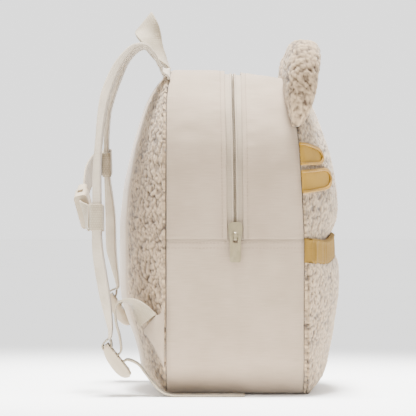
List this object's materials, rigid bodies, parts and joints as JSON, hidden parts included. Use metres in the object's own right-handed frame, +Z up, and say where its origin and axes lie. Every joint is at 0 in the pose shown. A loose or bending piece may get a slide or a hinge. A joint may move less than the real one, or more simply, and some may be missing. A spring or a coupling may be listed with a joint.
{
  "type": "kids animal backpack",
  "caption": "Small child's backpack with a domed teddy fabric body, round ears, side stripes, gathered front pocket, arched zip, top loop, shoulder straps and a chest strap.",
  "frame": {"origin": "centre of the flat base, where the bag stands", "axes": "+Z up along the body, -Y out of the animal's face, +Y towards the wearer's back, the zip slider at -X"},
  "size_m": [0.2503, 0.2476, 0.3586],
  "materials": {
    "woven": "plain woven polyester",
    "teddy": "short curly pile",
    "mustard": "satin stitched and gathered cloth",
    "webbing": "ribbed polyester webbing",
    "strap": "padded woven polyester",
    "plastic": "satin moulded acetal",
    "zip_tape": "woven tape with nylon coil",
    "painted_metal": "satin paint"
  },
  "bodies": {
    "bag": {"gusset_bottom": "woven", "gusset_top_rear": "woven", "gusset_top_front": "woven", "zip_chain": "zip_tape", "zip_slider": "painted_metal", "back_panel": "teddy", "front_panel": "teddy", "pocket": "teddy", "pocket_band": "mustard", "handle": "webbing", "ear_left": "teddy", "ear_right": "teddy", "cheek_stripe_upper_left": "mustard", "cheek_stripe_lower_left": "mustard", "cheek_stripe_upper_right": "mustard", "cheek_stripe_lower_right": "mustard", "shoulder_strap_left": "strap", "shoulder_strap_right": "strap", "strap_tab_left": "webbing", "strap_tab_right": "webbing", "ladder_lock_left": "plastic", "ladder_lock_right": "plastic", "strap_wing_left": "woven", "strap_wing_right": "woven", "adjuster_webbing_left": "webbing", "adjuster_webbing_right": "webbing", "chest_loop_left": "webbing", "chest_loop_right": "webbing", "chest_strap_left": "webbing", "chest_strap_right": "webbing", "buckle_socket": "plastic", "buckle_plug": "plastic"},
    "zip_tab": {"zip_pull": "painted_metal"}
  },
  "joints": [
    {"name": "zip_pull_hinge", "type": "hinge", "parent": "bag", "child": "zip_tab", "pos_m": [-0.1237, 0, 0.1458], "axis": [0, 1, 0], "range_deg": [0, 150]}
  ]
}
